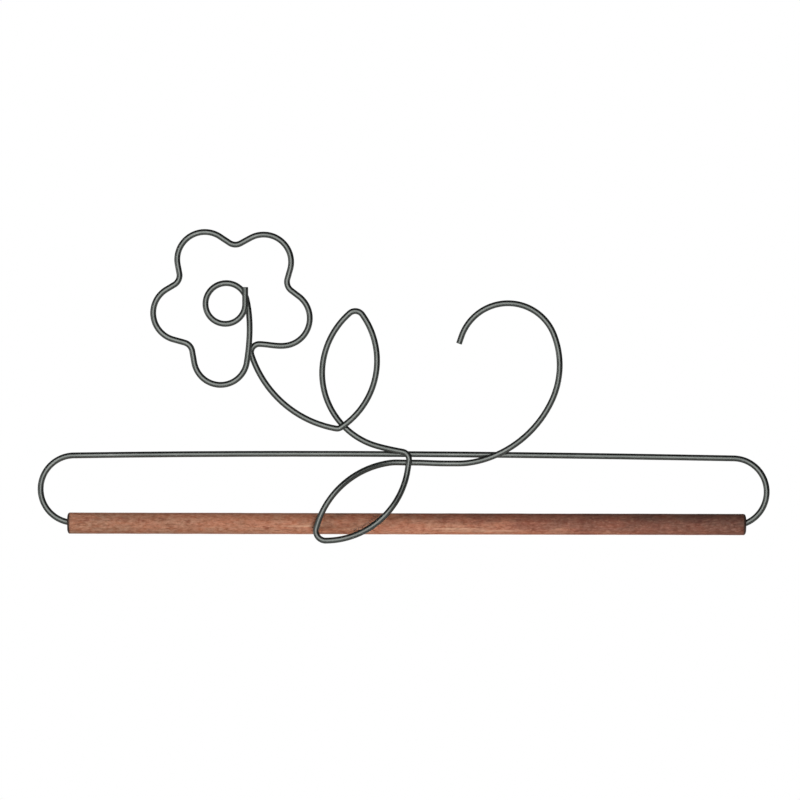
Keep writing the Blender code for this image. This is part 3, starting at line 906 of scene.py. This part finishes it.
# Studio
# The hanger hangs before a white backdrop, far above a pale floor, seen square on by a long
# lens. Soft lights at the left, below and behind light the wood. Large panels in front of it,
# at the left and behind are mirrored by the wire.
PHOTO_PIXELS = 800
PIXEL = 0.449 * MM
PICTURE_MIDDLE = (-1.73, 24.29)
CAMERA_DISTANCE = 4.0
CAMERA_ROLL = 0.123
GLOSSY_ROOM = 0.03
DIFFUSE_ROOM = 0.42
FLOOR_Z = -2.0
FLOOR_HALF = 20.0
FLOOR_PALENESS = 0.62
FLOOR_DARK = (0.44, 0.44, 0.435, 1)
FLOOR_PALE = (0.50, 0.50, 0.495, 1)
FLOOR_PATCH = 0.2
BACKDROP_Y = 2.2
BACKDROP_DIRECTION = 0.97

# What a softbox does: it sheds light on matt surfaces, it is mirrored in gloss, or it does both.
SHED = "shed"
MIRRORED = "mirrored"
BOTH = "both"

# Each softbox as its name, place, size, watts, the spot that it is aimed at and what it does.
SOFTBOXES = (
    ("low_softbox", (0.05, -0.14, -0.24), (0.20, 0.08), 0.50, (0.03, 0, -0.02), SHED),
    ("near_softbox", (-0.32, -0.26, 0.19), (0.12, 0.12), 0.68, (-0.12, 0, -0.01), SHED),
    ("key_softbox", (0.40, -2.1, -0.78), (0.5, 0.5), 27, (0, 0, 0), SHED),
    ("front_softbox", (-0.30, -2.2, 0.18), (2.0, 2.5), 22.5, (0, 0, 0.03), MIRRORED),
    ("left_softbox", (-2.2, -0.5, 0.1), (1.6, 1.6), 4, (0, 0, 0.03), MIRRORED),
    ("back_softbox", (0.10, 2.2, 0.08), (2.0, 1.8), 20, (0, 0, 0.03), BOTH),
)


def make_camera():
    """The camera, square to the hanger."""
    lens = bpy.data.cameras.new("camera")
    lens.lens = lens.sensor_width * CAMERA_DISTANCE / (PHOTO_PIXELS * PIXEL)
    lens.clip_end = 3 * FLOOR_HALF
    camera = bpy.data.objects.new("camera", lens)
    middle = from_top_wire(PICTURE_MIDDLE)
    camera.location = (middle.x, -CAMERA_DISTANCE, middle.y)
    camera.rotation_euler = (math.radians(90), math.radians(-CAMERA_ROLL), 0)
    bpy.context.scene.collection.objects.link(camera)
    bpy.context.scene.camera = camera


def make_softbox(name, place, size, watts, aim):
    """A soft light at a place, turned to the spot that it is aimed at, unseen by the camera."""
    light = bpy.data.lights.new(name, "AREA")
    light.shape = "RECTANGLE"
    light.size, light.size_y = size
    light.energy = watts
    lamp = bpy.data.objects.new(name, light)
    lamp.location = place
    lamp.rotation_euler = (Vector(aim) - Vector(place)).to_track_quat("-Z", "Y").to_euler()
    lamp.visible_camera = False
    bpy.context.scene.collection.objects.link(lamp)
    return lamp


def make_world():
    """White behind the hanger, and a dim room for the light that reaches it from elsewhere."""
    world = bpy.data.worlds.new("studio")
    bpy.context.scene.world = world
    world.use_nodes = True
    tree = world.node_tree
    tree.nodes.clear()
    rays = put(tree, "ShaderNodeLightPath").outputs
    direction = put(tree, "ShaderNodeTexCoord").outputs["Generated"]
    parts = put(tree, "ShaderNodeSeparateXYZ", {0: direction}).outputs
    behind = calc(tree, "GREATER_THAN", parts["Y"], BACKDROP_DIRECTION)
    mirrored = calc(tree, "MAXIMUM", rays["Is Glossy Ray"], rays["Is Transmission Ray"])
    shown = calc(tree, "MULTIPLY", behind, mirrored)
    seen = calc(tree, "MAXIMUM", rays["Is Camera Ray"], shown)
    filled = spread(tree, rays["Is Diffuse Ray"], 0, 1, GLOSSY_ROOM, DIFFUSE_ROOM)
    room = put(tree, "ShaderNodeBackground", {"Color": (1, 1, 1, 1), "Strength": filled})
    white = put(tree, "ShaderNodeBackground", {"Color": (1, 1, 1, 1), "Strength": 1.0})
    mix = put(tree, "ShaderNodeMixShader", {0: seen, 1: room.outputs[0], 2: white.outputs[0]})
    put(tree, "ShaderNodeOutputWorld", {"Surface": mix.outputs[0]})


def make_floor():
    """A pale floor, far enough below to stay out of the picture."""
    mesh = bpy.data.meshes.new("floor")
    corners = [
        (-FLOOR_HALF, -FLOOR_HALF, FLOOR_Z),
        (FLOOR_HALF, -FLOOR_HALF, FLOOR_Z),
        (FLOOR_HALF, FLOOR_HALF, FLOOR_Z),
        (-FLOOR_HALF, FLOOR_HALF, FLOOR_Z),
    ]
    mesh.from_pydata(corners, [], [(0, 1, 2, 3)])
    material = bpy.data.materials.new("pale_floor")
    material.use_nodes = True
    tree = material.node_tree
    shader = tree.nodes["Principled BSDF"]
    place = put(tree, "ShaderNodeTexCoord").outputs["Object"]
    patchy = tinted(tree, blobs(tree, place, FLOOR_PATCH), FLOOR_DARK, FLOOR_PALE)
    rays = put(tree, "ShaderNodeLightPath").outputs
    parts = put(tree, "ShaderNodeSeparateXYZ", {0: place}).outputs
    behind = calc(tree, "GREATER_THAN", parts["Y"], BACKDROP_Y)
    mirrored = calc(tree, "MAXIMUM", rays["Is Glossy Ray"], rays["Is Transmission Ray"])
    shown = calc(tree, "MULTIPLY", behind, mirrored)
    seen = calc(tree, "MAXIMUM", rays["Is Camera Ray"], shown)
    shader.inputs["Roughness"].default_value = 0.8
    shader.inputs["Emission Color"].default_value = (1, 1, 1, 1)
    tree.links.new(patchy, shader.inputs["Base Color"])
    glow = calc(tree, "MULTIPLY", seen, FLOOR_PALENESS)
    tree.links.new(glow, shader.inputs["Emission Strength"])
    mesh.materials.append(material)
    floor = bpy.data.objects.new("floor", mesh)
    bpy.context.scene.collection.objects.link(floor)


make_camera()
make_world()
make_floor()
for name, place, size, watts, aim, reach in SOFTBOXES:
    softbox = make_softbox(name, place, size, watts, aim)
    softbox.visible_diffuse = reach != MIRRORED
    softbox.visible_glossy = reach != SHED
bpy.context.scene.view_settings.view_transform = "Standard"
